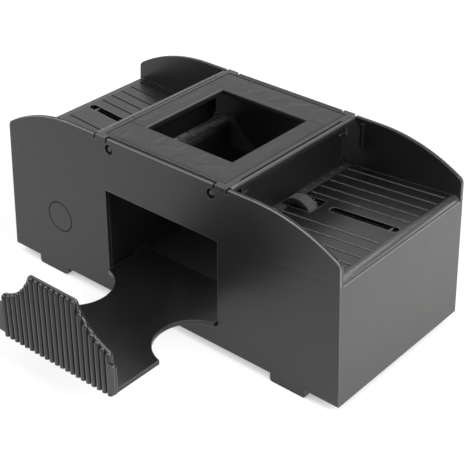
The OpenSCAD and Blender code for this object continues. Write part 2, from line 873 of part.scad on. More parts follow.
// Middle of the roller and of its gear along the axle
roller_y0 = -4.9;
roller_y1 = roller_y0 + roller_w;
gear_y0 = roller_y1 + 1.1;
gear_y1 = gear_y0 + 4;
plate_a0 = roller_y0 - 3.1;
plate_a1 = plate_a0 + 1.6;
plate_b0 = gear_y1 + 1;
plate_b1 = plate_b0 + 1.6;
wheel_y0 = plate_b1 + 0.5;
wheel_y1 = wheel_y0 + 2.2;
plate_c0 = wheel_y1 + 0.9;
plate_c1 = plate_c0 + 1.8;
teeth_axle = 20;
teeth_small = 10;
teeth_big = 36;
teeth_pinion = 10;
mesh_gap = 0.1;
mesh_1 = (teeth_axle + teeth_small) * gear_m / 2 + mesh_gap;
mesh_2 = (teeth_big + teeth_pinion) * gear_m / 2 + mesh_gap;
idler_x = well_out + 0.4 + gear_m * (teeth_big / 2 + 0.8);
idler_z = axle_z - sqrt(mesh_1 * mesh_1 - pow(idler_x - axle_x, 2));
motor_angle = -27;
// Height of a motor's can over its two flats, as a part of its diameter
flat_part = 0.75;
motor_x = idler_x + mesh_2 * cos(motor_angle);
motor_z = idler_z + mesh_2 * sin(motor_angle);
// Direction from the axle to the idler
idler_angle = atan2(idler_z - axle_z, idler_x - axle_x);

// Tooth flank of an involute gear
function involute(r, rb) = let (t = sqrt(max(0, pow(r / rb, 2) - 1))) t * 180 / PI - atan(t);
function flank_angle(r, n) = let (rp = gear_m * n / 2, rb = rp * cos(20))
  90 / n - 1.6 * 20 / n / 10 + involute(rp, rb) - involute(max(r, rb), rb);
function polar(r, a) = [r * cos(a), r * sin(a)];

// Gear outline with a tooth on the x axis
module gear_outline(n) {
  rp = gear_m * n / 2;
  rb = rp * cos(20);
  root = rp - 1.15 * gear_m;
  tip = rp + 0.8 * gear_m;
  radii = [root, max(rb, root + 0.02), rp, (rp + tip) / 2, tip];
  polygon([
    for (i = [0:n - 1])
      for (j = [0:9])
        let (up = j < 5, k = up ? j : 9 - j, a = flank_angle(radii[k], n))
          polar(radii[k], i * 360 / n + (up ? -a : a))
  ]);
}

module spur(n, x, z, turn, y0, y1, bore) {
  slab(y0, y1)
    translate([x, z])
      difference() {
        rotate(turn)
          gear_outline(n);
        circle(r = bore, $fn = 32);
      }
}

module axle(s) {
  color(steel_color)
    on_side(s)
      bar_y(axle_x, axle_z, axle_d / 2, plate_a0 - 0.8, plate_b1 - 0.1, 32);
}

module roller_hub(s) {
  color(gear_color)
    on_side(s)
      difference() {
        union() {
          bar_y(axle_x, axle_z, roller_r - tyre_t, roller_y0, roller_y1);
          bar_y(axle_x, axle_z, 3, roller_y0 - 0.7, gear_y0);
        }
        bar_y(axle_x, axle_z, axle_d / 2, plate_a0, gear_y1, 32);
        // Recess on both faces of the hub
        for (y = [roller_y0 - 1, roller_y1 - 1.2])
          difference() {
            bar_y(axle_x, axle_z, roller_r - tyre_t - 1.4, y, y + 2.2);
            bar_y(axle_x, axle_z, 3, y - 1, y + 4);
          }
      }
}

module roller_tyre(s) {
  color([0.42, 0.42, 0.42])
    on_side(s)
      difference() {
        bar_y(axle_x, axle_z, roller_r, roller_y0, roller_y1, 72);
        bar_y(axle_x, axle_z, roller_r - tyre_t, roller_y0 - 1, roller_y1 + 1);
      }
}

module axle_gear(s) {
  color(gear_color)
    on_side(s)
      spur(teeth_axle, axle_x, axle_z, idler_angle, gear_y0, gear_y1, axle_d / 2);
}

module idler_pin(s) {
  color(steel_color)
    on_side(s)
      bar_y(idler_x, idler_z, shaft_d / 2, gear_y0 - 0.4, plate_c1, 32);
}

module idler_gear(s) {
  bore = shaft_d / 2 + run_gap;
  color(gear_color)
    on_side(s) {
      spur(teeth_small, idler_x, idler_z, idler_angle + 180 + 180 / teeth_small, gear_y0, wheel_y0 + 0.5, bore);
      spur(teeth_big, idler_x, idler_z, motor_angle, wheel_y0, wheel_y1, bore);
    }
}

module pinion(s) {
  color(gear_color)
    on_side(s)
      spur(teeth_pinion, motor_x, motor_z, motor_angle + 180 + 180 / teeth_pinion, wheel_y0 - 0.2, wheel_y1 + 0.3, shaft_d / 2);
}

module motor_shaft(s) {
  color(steel_color)
    on_side(s)
      bar_y(motor_x, motor_z, shaft_d / 2, wheel_y0 - 0.4, plate_c1 + 8, 32);
}

module motor(s) {
  color(steel_color)
    on_side(s)
      difference() {
        union() {
          // Can with two flats
          intersection() {
            bar_y(motor_x, motor_z, motor_d / 2, plate_c1, plate_c1 + motor_l);
            translate([motor_x - motor_d / 2, plate_c1, motor_z - motor_d * flat_part / 2])
              cube([motor_d, motor_l, motor_d * flat_part]);
          }
          bar_y(motor_x, motor_z, 3, plate_c0 + 0.6, plate_c1 + 1);
        }
        bar_y(motor_x, motor_z, shaft_d / 2 + run_gap, plate_c0, plate_c1 + 9, 32);
      }
}

module gear_bracket(s) {
  plate_top = tray_z(well_out) - tray_t - 0.3;
  right_b = axle_x + 5;
  right_c = motor_x + motor_d / 2 - 2;
  plate_low = motor_z - motor_d * flat_part / 2;
  color(dark_color)
    on_side(s)
      difference() {
        union() {
          // Flange on the side of the card well
          translate([well_out, bracket_y0, bracket_z0])
            cube([bracket_t, bracket_y1 - bracket_y0, bracket_z1 - bracket_z0]);
          slab(plate_a0, plate_a1)
            polygon([
              [well_out, bracket_z0], [right_b, bracket_z0 + 6], [right_b, plate_top],
              [axle_x - 5, plate_top], [axle_x - 5, bracket_z1], [well_out, bracket_z1]
            ]);
          slab(plate_b0, plate_b1)
            polygon([
              [well_out, bracket_z0], [right_b + 2, bracket_z0 + 6], [right_b + 2, plate_top],
              [axle_x - 5, plate_top], [axle_x - 5, bracket_z1], [well_out, bracket_z1]
            ]);
          slab(plate_c0, plate_c1)
            polygon([
              [well_out, bracket_z0], [idler_x + 4, bracket_z0 + 6], [idler_x + 4, plate_low],
              [motor_x + 5, plate_low], [right_c, motor_z - 4], [right_c, motor_z + 8], [idler_x + 4, idler_z + 4],
              [idler_x - 4, idler_z + 4], [idler_x - 4, bracket_z1], [well_out, bracket_z1]
            ]);
          // Floor that ties the three plates together
          translate([well_out, plate_a0, bracket_z0 + 2])
            cube([8, plate_c1 - plate_a0, 2.4]);
        }
        for (y = [plate_a0, plate_b0])
          bar_y(axle_x, axle_z, axle_d / 2 + run_gap, y - 1, y + 3, 32);
        bar_y(idler_x, idler_z, gear_m * (teeth_small / 2 + 0.8) + 0.3, plate_b0 - 1, plate_b1 + 0.5, 32);
        bar_y(idler_x, idler_z, shaft_d / 2, plate_c0 - 0.5, plate_c1 + 1, 32);
        bar_y(motor_x, motor_z, 3, plate_c0 - 0.5, plate_c1 + 1);
        for (sy = [-1, 1])
          translate([well_out - 1, sy * screw_y, screw_z])
            rotate([0, 90, 0])
              cylinder(r = screw_r, h = bracket_t + 2, $fn = 24);
      }
}

module bracket_screws() {
  color(steel_color)
    for (s = [-1, 1])
      on_side(s)
        for (sy = [-1, 1])
          translate([0, sy * screw_y, screw_z])
            rotate([0, 90, 0]) {
              translate([0, 0, well_x + 0.7])
                cylinder(r = screw_r, h = well_t + bracket_t, $fn = 24);
              translate([0, 0, well_out + bracket_t])
                cylinder(r = 2, h = 1.4, $fn = 32);
            }
}

// Start button

flange_y0 = -in_y + 0.1;
flange_y1 = flange_y0 + 1.2;
stem_y1 = flange_y1 + 3.6;
stem_r = 2.2;
switch_y0 = stem_y1 + button_travel + 0.6;
plunger_r = 1.6;
plunger_in = 3;
switch_h = 8;

module start_button() {
  color(case_color)
    placed() {
      bar_y(-button_x, button_z, button_d / 2, -face_y, flange_y1);
      bar_y(-button_x, button_z, button_d / 2 + button_lip, flange_y0, flange_y1);
      bar_y(-button_x, button_z, stem_r, flange_y1 - 0.1, stem_y1, 32);
    }
}

module switch_plunger() {
  color(gear_color)
    placed()
      bar_y(-button_x, button_z, plunger_r, stem_y1, switch_y0 + plunger_in, 32);
}

module switch() {
  color(dark_color)
    placed()
      difference() {
        translate([-button_x - cage_x, switch_y0, button_z - switch_h / 2])
          cube([2 * cage_x, cage_back - switch_y0, switch_h]);
        bar_y(-button_x, button_z, plunger_r + run_gap, switch_y0 - 1, switch_y0 + plunger_in + button_travel + 0.4, 32);
      }
}

// Left and right copies, and the four batteries

module left_tray() { tray(-1); }
module left_gate() { gate(-1); }
module left_gear_bracket() { gear_bracket(-1); }
module left_axle() { axle(-1); }
module left_roller_hub() { roller_hub(-1); }
module left_roller_tyre() { roller_tyre(-1); }
module left_axle_gear() { axle_gear(-1); }
module left_idler_pin() { idler_pin(-1); }
module left_idler_gear() { idler_gear(-1); }
module left_motor() { motor(-1); }
module left_motor_shaft() { motor_shaft(-1); }
module left_pinion() { pinion(-1); }
module right_tray() { tray(1); }
module right_gate() { gate(1); }
module right_gear_bracket() { gear_bracket(1); }
module right_axle() { axle(1); }
module right_roller_hub() { roller_hub(1); }
module right_roller_tyre() { roller_tyre(1); }
module right_axle_gear() { axle_gear(1); }
module right_idler_pin() { idler_pin(1); }
module right_idler_gear() { idler_gear(1); }
module right_motor() { motor(1); }
module right_motor_shaft() { motor_shaft(1); }
module right_pinion() { pinion(1); }
module battery_1() { battery(0); }
module battery_2() { battery(1); }
module battery_3() { battery(2); }
module battery_4() { battery(3); }

housing();
base_cover();
battery_door();
card_well();
left_tray();
right_tray();
top_frame();
leather_trim();
left_gate();
right_gate();
card_drawer();
left_gear_bracket();
left_axle();
left_roller_hub();
left_roller_tyre();
left_axle_gear();
left_idler_pin();
left_idler_gear();
left_motor();
left_motor_shaft();
left_pinion();
right_gear_bracket();
right_axle();
right_roller_hub();
right_roller_tyre();
right_axle_gear();
right_idler_pin();
right_idler_gear();
right_motor();
right_motor_shaft();
right_pinion();
start_button();
switch_plunger();
switch();
battery_1();
battery_2();
battery_3();
battery_4();
battery_contacts();
case_screws();
bracket_screws();
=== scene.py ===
import json
import math

import bmesh
import bpy
from mathutils import Matrix, Vector, noise


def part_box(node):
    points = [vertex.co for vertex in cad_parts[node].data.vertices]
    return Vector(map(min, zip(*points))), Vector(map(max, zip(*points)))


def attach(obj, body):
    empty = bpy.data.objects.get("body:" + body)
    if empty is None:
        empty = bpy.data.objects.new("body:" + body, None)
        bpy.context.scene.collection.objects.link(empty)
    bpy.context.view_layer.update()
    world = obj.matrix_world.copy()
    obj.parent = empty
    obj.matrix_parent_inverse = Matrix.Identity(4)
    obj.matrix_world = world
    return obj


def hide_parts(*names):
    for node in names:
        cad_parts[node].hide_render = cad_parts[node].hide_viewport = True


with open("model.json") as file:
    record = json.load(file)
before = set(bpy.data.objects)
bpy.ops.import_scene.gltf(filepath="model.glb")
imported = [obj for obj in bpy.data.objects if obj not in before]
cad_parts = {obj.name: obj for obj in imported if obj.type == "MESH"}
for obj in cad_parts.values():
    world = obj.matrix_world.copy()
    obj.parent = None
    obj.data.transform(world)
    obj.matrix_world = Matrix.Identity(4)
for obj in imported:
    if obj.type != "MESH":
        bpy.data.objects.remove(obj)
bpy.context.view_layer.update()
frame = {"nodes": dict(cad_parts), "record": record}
nodes = frame["nodes"]
scene = bpy.context.scene
MM = 0.001

# Sizes in millimetres that the pieces and materials below share with the solids
SHIFT_Y = 34.45
PAD_X, PAD_Y = 36.9, 44.6
WINDOW_X, WINDOW_Y = 26.6, 27.8
FRAME_Z = 87.6
SEAT_Z = 89.3
AXLE_X, AXLE_Z = 45.9, 59.384
ROLLER_R, ROLLER_IN = 9.4, 7.6
ROLLER_Y0, ROLLER_Y1 = -4.9, 1.3
CELL_X, CELL_Z, CELL_L = 84.13, 22.0, 49.2
GROOVE_FIRST, GROOVE_PITCH = 11.6, 7.25
GROOVE_X0, GROOVE_X1 = 41.2, 96.98
PEG_X, PEG_Z, PEG_R, PEG_END = 31.3, 84.9, 1.6, 47.15
SCREW_X, SCREW_MID_X, SCREW_Y = 96.8, 43.1, 40.95
BUTTON_X, BUTTON_Z = -68.8, 34.2
PANEL_Y = -112.6

# Bounds in millimetres of what the materials mark, measured from the middle of the casing.
# Trays: the grooved lanes, the end of the deck, the height above which lines and ticks show
LANE_Y0, LANE_Y1 = 9.6, 44.8
DECK_X1 = GROOVE_X1 + 0.2
DECK_Z = 63.0
TICK_X0, TICK_X1 = 37.2, 39.6
LINE_X0, LINE_X1, LINE_OFF = 42.0, 96.6, 0.52
# Frame: its upper side, and the gap along the long walls between the ears
PLATE_Z = 88.0
EAR_X, SLIT_Y = 33.4, 45.2
# Casing: the inside of its bays, the tops of its walls, and the strip under each tray's rim
BAY_X, BAY_Y = 98.0, 45.4
ARCH_X, ARCH_Z, CREST_Z = 41.0, 66.0, 89.6
WALL_Y0, LIP_Y, WALL_Y1 = 46.02, 47.2, 48.08
RIM_X, RIM_Z = 99.0, 62.0
# Casing: the gap round the start button, and the sink mark along each tray
RING_R, RING_Y = 8.05, -46
SINK_Z, SINK_SLOPE, SINK_HALF = 59.6, 0.0752, 2.4


def point(x, y, z):
    """A point of the casing, in millimetres from its own middle, in the frame's metres."""
    return Vector((x * MM, (y + SHIFT_Y) * MM, z * MM))


# Camera, fitted to the photograph: angles in degrees, place in millimetres, focal length in pixels
AZIMUTH, ELEVATION, ROLL = 40.114, 31.70, 0.245
CAMERA_AT = (340.2, -400.07, 354.54)
FOCAL_PX, IMAGE_PX, SENSOR_MM = 1239.8, 464, 36


def add_camera():
    az, el, roll = math.radians(AZIMUTH), math.radians(ELEVATION), math.radians(ROLL)
    back = Vector((math.sin(az) * math.cos(el), -math.cos(az) * math.cos(el), math.sin(el)))
    level = Vector((math.cos(az), math.sin(az), 0))
    upright = back.cross(level)
    right = level * math.cos(roll) + upright * math.sin(roll)
    up = upright * math.cos(roll) - level * math.sin(roll)
    data = bpy.data.cameras.new("camera")
    data.sensor_width = SENSOR_MM
    data.lens = FOCAL_PX / IMAGE_PX * SENSOR_MM
    data.clip_start = 0.02
    data.clip_end = 20
    cam = bpy.data.objects.new("camera", data)
    scene.collection.objects.link(cam)
    turn = Matrix.Identity(4)
    for i in range(3):
        turn[i][0], turn[i][1], turn[i][2] = right[i], up[i], back[i]
    turn.translation = point(*CAMERA_AT)
    cam.matrix_world = turn
    scene.camera = cam


add_camera()

# Materials

# How far the painted highlights on edges and the painted shade in creases reach, in millimetres
EDGE_REACH, CREASE_REACH = 0.5, 1.4


def gray(v, warm=0.0):
    """A grey of brightness v, a little warmer where warm is above 0."""
    return (v * (1 + warm), v, v * (1 - warm))


def set_range(node, *values):
    """Fills a Map Range node: lowest and highest value in, then what these become."""
    for name, value in zip(("From Min", "From Max", "To Min", "To Max"), values):
        node.inputs[name].default_value = value


class Shader:
    """A material with a Principled shader and short calls for the nodes round it."""

    def __init__(self, name):
        self.mat = bpy.data.materials.new(name)
        self.mat.use_nodes = True
        self.tree = self.mat.node_tree
        self.tree.nodes.clear()
        self.out = self.add("ShaderNodeOutputMaterial")
        self.bsdf = self.add("ShaderNodeBsdfPrincipled")
        self.link(self.bsdf.outputs[0], self.out.inputs[0])
        coord = self.add("ShaderNodeTexCoord")
        scale = self.add("ShaderNodeVectorMath", operation="SCALE")
        scale.inputs["Scale"].default_value = 1 / MM
        self.link(coord.outputs["Object"], scale.inputs[0])
        self.mm = scale.outputs[0]

    def add(self, kind, **values):
        node = self.tree.nodes.new(kind)
        for k, v in values.items():
            setattr(node, k, v)
        return node

    def link(self, a, b):
        self.tree.links.new(a, b)

    def feed(self, socket, value):
        """Sets a number or a colour on the socket itself, and links what another node gives."""
        if isinstance(value, (int, float)):
            socket.default_value = value
        elif isinstance(value, (tuple, list)):
            socket.default_value = (*value, 1)
        else:
            self.link(value, socket)

    def stretch(self, factors):
        node = self.add("ShaderNodeVectorMath", operation="MULTIPLY")
        node.inputs[1].default_value = factors
        self.link(self.mm, node.inputs[0])
        return node.outputs[0]

    def noise(self, scale, detail, rough, vector=None):
        node = self.add("ShaderNodeTexNoise")
        node.inputs["Scale"].default_value = scale
        node.inputs["Detail"].default_value = detail
        node.inputs["Roughness"].default_value = rough
        self.link(vector or self.mm, node.inputs["Vector"])
        return node.outputs["Fac"]

    def cells(self, scale, feature):
        node = self.add("ShaderNodeTexVoronoi", feature=feature)
        node.inputs["Scale"].default_value = scale
        self.link(self.mm, node.inputs["Vector"])
        return node.outputs["Distance"]

    def ramp(self, value, stops):
        node = self.add("ShaderNodeValToRGB")
        elements = node.color_ramp.elements
        while len(elements) < len(stops):
            elements.new(0.5)
        for element, (at, color) in zip(elements, stops):
            element.position = at
            if not isinstance(color, (tuple, list)):
                color = (color, color, color)
            element.color = (*color, 1)
        self.link(value, node.inputs[0])
        return node.outputs["Color"]

    def cloudy(self, value, low, high):
        """Turns a noise into a soft change between two values."""
        return self.ramp(value, [(0.3, low), (0.7, high)])

    def math(self, operation, *values):
        node = self.add("ShaderNodeMath", operation=operation)
        for socket, value in zip(node.inputs, values):
            self.feed(socket, value)
        return node.outputs[0]

    def times(self, first, *others):
        for other in others:
            first = self.math("MULTIPLY", first, other)
        return first

    def most(self, a, b):
        return self.math("MAXIMUM", a, b)

    def above(self, value, limit):
        return self.math("GREATER_THAN", value, limit)

    def below(self, value, limit):
        return self.math("LESS_THAN", value, limit)

    def between(self, value, low, high):
        return self.times(self.above(value, low), self.below(value, high))

    def minus(self, a, b):
        return self.math("SUBTRACT", a, b)

    def flip(self, value):
        return self.minus(1.0, value)

    def absolute(self, value):
        return self.math("ABSOLUTE", value)

    def radius(self, x, z, x0, z0):
        dx, dz = self.minus(x, x0), self.minus(z, z0)
        return self.math("SQRT", self.math("ADD", self.times(dx, dx), self.times(dz, dz)))

    def mix(self, factor, a, b):
        node = self.add("ShaderNodeMix", data_type="RGBA")
        for i, value in ((0, factor), (6, a), (7, b)):
            self.feed(node.inputs[i], value)
        return node.outputs[2]

    def bump(self, height, distance, strength, under=None):
        node = self.add("ShaderNodeBump")
        node.inputs["Distance"].default_value = distance * MM
        node.inputs["Strength"].default_value = strength
        self.link(height, node.inputs["Height"])
        if under is not None:
            self.link(under, node.inputs["Normal"])
        self.link(node.outputs[0], self.bsdf.inputs["Normal"])
        return node.outputs[0]

    def split(self):
        node = self.add("ShaderNodeSeparateXYZ")
        self.link(self.mm, node.inputs[0])
        return node.outputs

    def near(self, distance, inside):
        """How open a point is: below 1 near convex edges seen from inside, or near creases from outside."""
        node = self.add("ShaderNodeAmbientOcclusion", inside=inside, only_local=inside, samples=8)
        node.inputs["Distance"].default_value = distance * MM
        return node.outputs["AO"]

    def edges(self):
        """0 on flat faces and 1 on convex edges, where highlights are painted."""
        return self.ramp(self.near(EDGE_REACH, True), [(0.62, 1.0), (0.86, 0.0)])

    def creases(self):
        """0 on open faces and 1 in narrow gaps and corners, where shade is painted."""
        return self.ramp(self.near(CREASE_REACH, False), [(0.5, 1.0), (0.78, 0.0)])

    def comb(self, y, shift, half):
        """1 on thin lines along the trays' grooves, at a distance shift to the rear of their middles."""
        side = self.minus(self.absolute(y), self.times(self.math("SIGN", y), shift))
        turns = self.math("DIVIDE", self.minus(side, GROOVE_FIRST), GROOVE_PITCH)
        # half a turn puts the lines at one half, and whole turns keep the sum above zero
        part = self.math("FRACT", self.math("ADD", turns, 20.5))
        off = self.times(self.absolute(self.minus(part, 0.5)), GROOVE_PITCH)
        line = self.ramp(off, [(half, 1.0), (half + 0.08, 0.0)])
        return self.times(line, self.above(side, GROOVE_FIRST - 1))

    def color(self, value):
        self.feed(self.bsdf.inputs["Base Color"], value)

    def rough(self, value):
        self.feed(self.bsdf.inputs["Roughness"], value)

    def gloss(self, level):
        self.bsdf.inputs["Specular IOR Level"].default_value = level


class Plastic(Shader):
    """Moulded plastic: fine spark-eroded grain, faint flow marks, painted highlights on its edges and painted
    shade in its gaps and corners.

    The marks of a piece change tone, pale_marks, gap and waves, and set dull and glint, before finish.
    """

    STREAK_LIFT = 1.12
    # the tone of the painted shade in gaps, and of the painted glints
    GAP_TONE, GLINT_TONE = gray(0.003), gray(0.6)
    GAP_ROUGH, DULL_ROUGH, ROUGH_SPREAD = gray(0.9), gray(0.8), 0.015
    GRAIN_SCALE, GRAIN_DEPTH = 2.2, 0.008

    def __init__(self, name, base, roughness, mottle, edge, flow):
        super().__init__(name)
        low = tuple(c * (1 - mottle) for c in base)
        high = tuple(c * (1 + mottle) for c in base)
        self.tone = self.ramp(self.noise(0.045, 4, 0.6), [(0.32, low), (0.68, high)])
        if flow:
            streak = self.noise(0.05, 3, 0.5, self.stretch(flow))
            pale = tuple(c * self.STREAK_LIFT for c in base)
            self.tone = self.mix(self.ramp(streak, [(0.4, 0.0), (0.75, 0.35)]), self.tone, pale)
        self.roughness = roughness
        self.edge = edge
        # pale_marks: painted highlights on convex edges
        self.pale_marks = self.edges() if edge else None
        # gap: painted shade in narrow gaps and corners
        self.gap = self.creases()
        self.dull = None
        self.glint = None
        self.waves = self.bump(self.noise(0.06, 2, 0.5), 0.25, 0.12)
        # place on the casing: across is signed, x and far count from the middle on both sides
        self.across, y, self.z = self.split()
        self.x, self.y = self.absolute(self.across), self.minus(y, SHIFT_Y)
        self.far = self.absolute(self.y)

    def finish(self):
        tone = self.tone
        # painted highlights on the edges, then painted glints
        if self.edge:
            tone = self.mix(self.pale_marks, tone, self.edge)
        if self.glint is not None:
            tone = self.mix(self.glint, tone, self.GLINT_TONE)
        low, high = self.roughness - self.ROUGH_SPREAD, self.roughness + self.ROUGH_SPREAD
        roughness = self.cloudy(self.noise(0.12, 3, 0.5), low, high)
        if self.dull is not None:
            roughness = self.mix(self.dull, roughness, self.DULL_ROUGH)
        # painted shade in gaps and corners
        self.color(self.mix(self.gap, tone, self.GAP_TONE))
        self.rough(self.mix(self.gap, roughness, self.GAP_ROUGH))
        self.gloss(0.45)
        self.bump(self.noise(self.GRAIN_SCALE, 3, 0.7), self.GRAIN_DEPTH, 0.6, self.waves)
        return self.mat


def tray_marks(s):
    """Painted shade on a dull inner edge, with pale ticks as painted highlights, a painted highlight on the
    rim, pale lines painted as highlights beside the grooves, and painted shade in the grooves.
    """
    right = s.above(s.across, 0.0)
    inner = s.below(s.x, GROOVE_X0)
    deck = s.below(s.x, DECK_X1)
    lanes = s.times(deck, s.between(s.far, LANE_Y0, LANE_Y1))
    raised = s.above(s.z, DECK_Z)
    rim = s.ramp(s.minus(s.x, GROOVE_X1), [(0.35, 0.0), (1.0, 0.9)])
    # painted shade on the inner edge, and a painted highlight on the rim
    s.tone = s.mix(s.times(inner, 0.7), s.tone, gray(0.002))
    s.tone = s.mix(rim, s.tone, gray(0.07))
    s.dull = inner
    # painted highlights as pale ticks on the inner edge
    ticks = s.times(s.comb(s.y, 0.0, 0.1), s.between(s.x, TICK_X0, TICK_X1), raised)
    s.pale_marks = s.most(s.times(s.pale_marks, s.flip(s.most(inner, lanes))), ticks)
    # painted highlights: pale lines behind the right-hand tray's grooves
    s.glint = s.times(s.comb(s.y, LINE_OFF, 0.03), right, s.between(s.x, LINE_X0, LINE_X1), raised)
    # painted shade in the grooves on the left-hand tray and on the rear half of the right-hand one
    shaded = s.most(s.flip(right), s.above(s.y, 0.0))
    dark = s.times(s.comb(s.y, 0.0, 0.4), shaded, s.between(s.x, GROOVE_X0, GROOVE_X1))
    s.gap = s.most(s.times(s.gap, s.flip(lanes), deck), dark)


def plate_marks(s):
    """Painted shade: dark and dull below its upper side, with a painted shadow line in the gap along the long
    walls.
    """
    upper = s.above(s.z, PLATE_Z)
    slit = s.times(s.above(s.far, SLIT_Y), s.below(s.x, EAR_X))
    # painted shade below the upper side, and a painted shadow line in the slit
    s.tone = s.mix(upper, gray(0.001), s.tone)
    s.pale_marks = s.times(s.pale_marks, upper)
    s.gap = s.most(s.gap, s.times(slit, upper))
    s.dull = s.flip(upper)


def case_marks(s):
    """Walls' tops with painted shade on the inner part and a painted highlight on the lip, painted shade in
    the button's gap, and sink marks.
    """
    bay = s.times(s.below(s.far, BAY_Y), s.below(s.x, BAY_X))
    arch = s.times(s.above(s.x, ARCH_X), s.above(s.z, ARCH_Z))
    top = s.most(arch, s.above(s.z, CREST_Z))
    # the painted highlight on the lip is weaker on the rear wall
    front = s.math("ADD", s.times(s.below(s.y, 0.0), 0.75), 0.25)
    lip = s.times(s.between(s.far, LIP_Y, WALL_Y1), top, front)
    inner_top = s.times(top, s.between(s.far, BAY_Y, LIP_Y))
    # a painted highlight on the lip, and painted shade instead of edge highlights on the inner part of the
    # top
    s.pale_marks = s.most(s.times(s.pale_marks, s.flip(bay), s.flip(inner_top)), lip)
    s.gap = s.most(s.gap, s.times(s.between(s.far, WALL_Y0, LIP_Y), top))
    # painted edge highlights and painted shade in creases are weaker under the trays' rims
    under_rim = s.times(s.above(s.x, RIM_X), s.above(s.z, RIM_Z))
    s.pale_marks = s.times(s.pale_marks, s.flip(s.times(under_rim, s.below(s.far, BAY_Y), 0.85)))
    s.gap = s.times(s.gap, s.flip(s.times(under_rim, 0.8)))
    # painted shade in the gap round the start button
    off = s.absolute(s.minus(s.radius(s.across, s.z, BUTTON_X, BUTTON_Z), RING_R))
    ring = s.ramp(off, [(0.34, 1.0), (0.44, 0.0)])
    s.gap = s.most(s.gap, s.times(ring, s.below(s.y, RING_Y)))
    # the faint sink mark that the trays leave in the long walls
    line = s.minus(s.z, s.times(s.x, SINK_SLOPE))
    off = s.math("DIVIDE", s.absolute(s.minus(line, SINK_Z)), SINK_HALF)
    s.waves = s.bump(s.ramp(off, [(0.0, 0.0), (0.45, 0.7), (1.0, 1.0)]), 0.10, 0.5, s.waves)


def drawer_marks(s):
    """A front panel that is paler than the floor."""
    s.tone = s.mix(s.below(s.y, PANEL_Y), s.tone, gray(0.014))


def plastic(name, base, roughness, mottle=0.05, edge=None, flow=None, marks=None):
    """A finished plastic; mottle is how much its tone varies, and flow stretches its streaks."""
    s = Plastic(name, base, roughness, mottle, edge, flow)
    if marks:
        marks(s)
    return s.finish()


def leather_shader():
    s = Shader("leatherette")
    cells = s.cells(1.15, "F1")
    web = s.cells(1.15, "DISTANCE_TO_EDGE")
    tone = s.cloudy(s.noise(0.06, 4, 0.6), gray(0.012, 0.01), gray(0.024, 0.01))
    crack = s.ramp(web, [(0.0, 1.0), (0.09, 0.0)])
    tone = s.mix(s.times(crack, 0.35), tone, gray(0.009))
    pale_marks = s.ramp(s.noise(0.25, 5, 0.7), [(0.55, 0.0), (0.8, 0.4)])
    tone = s.mix(pale_marks, tone, gray(0.045, 0.01))
    x, y, z = s.split()
    # painted highlights on the ridges, and painted shade in the hollows and as a dark line where the edge
    # meets the seat
    rise = s.times(s.minus(z, SEAT_Z), 0.5)
    tone = s.mix(s.ramp(rise, [(0.57, 0.0), (0.80, 1.0)]), tone, gray(0.045, 0.01))
    tone = s.mix(s.ramp(rise, [(0.38, 1.0), (0.5, 0.0)]), tone, gray(0.005))
    # a painted highlight on the edge round the window
    dx = s.minus(s.absolute(x), WINDOW_X)
    dy = s.minus(s.absolute(s.minus(y, SHIFT_Y)), WINDOW_Y)
    inner = s.ramp(s.times(s.most(dx, dy), 0.5), [(0.0, 1.0), (0.1, 0.8), (0.2, 0.0)])
    inner = s.times(inner, s.above(z, SEAT_Z + 0.35))
    s.color(s.mix(inner, tone, gray(0.12, 0.01)))
    s.rough(s.cloudy(s.noise(0.9, 4, 0.6), 0.46, 0.6))
    s.gloss(0.27)
    s.bsdf.inputs["Sheen Weight"].default_value = 0.03
    pores = s.ramp(web, [(0.0, 0.0), (0.16, 1.0)])
    under = s.bump(s.noise(0.35, 4, 0.6), 0.12, 0.5)
    s.bump(s.math("ADD", pores, s.times(cells, 0.3)), 0.035, 0.6, under)
    return s.mat


def rubber_shader():
    s = Shader("tyre_rubber")
    tone = s.cloudy(s.noise(0.6, 5, 0.65), gray(0.085), gray(0.12))
    x, y, z = s.split()
    # painted highlights on the stud tops and painted shade in the gaps between them
    r = s.radius(s.absolute(x), z, AXLE_X, AXLE_Z)
    top = s.ramp(s.minus(r, ROLLER_R - 1), [(0.75, 0.0), (0.95, 1.0)])
    s.color(s.mix(top, gray(0.012), s.mix(0.5, tone, gray(0.24))))
    s.rough(s.cloudy(s.noise(1.5, 3, 0.6), 0.62, 0.8))
    s.gloss(0.35)
    s.bump(s.noise(4, 3, 0.7), 0.02, 0.6)
    return s.mat


def steel_shader():
    s = Shader("steel")
    s.bsdf.inputs["Metallic"].default_value = 1
    s.color(s.cloudy(s.noise(0.3, 4, 0.6), gray(0.52), gray(0.62)))
    brushed = s.noise(1.2, 4, 0.7, s.stretch((6, 0.4, 6)))
    s.rough(s.cloudy(brushed, 0.26, 0.42))
    s.bump(brushed, 0.01, 0.4)
    return s.mat


def cell_shader():
    """A plain battery jacket: a dark body with a copper-coloured end."""
    s = Shader("cell")
    x, y, z = s.split()
    # neighbouring cells point in opposite directions
    turned = s.absolute(s.minus(s.above(x, CELL_X), s.above(z, CELL_Z)))
    along = s.times(s.minus(y, SHIFT_Y), s.flip(s.times(turned, 2.0)))
    part = s.math("ADD", s.math("DIVIDE", along, CELL_L), 0.5)
    band = s.ramp(part, [(0.0, 0.0), (0.29, 0.0), (0.3, 1.0), (1.0, 1.0)])
    body = s.cloudy(s.noise(0.2, 3, 0.6), gray(0.03), gray(0.04))
    s.color(s.mix(band, (0.36, 0.17, 0.07), body))
    s.rough(s.cloudy(s.noise(0.8, 4, 0.6), 0.28, 0.4))
    s.bsdf.inputs["Coat Weight"].default_value = 0.3
    s.bump(s.noise(0.5, 3, 0.5), 0.03, 0.4)
    return s.mat


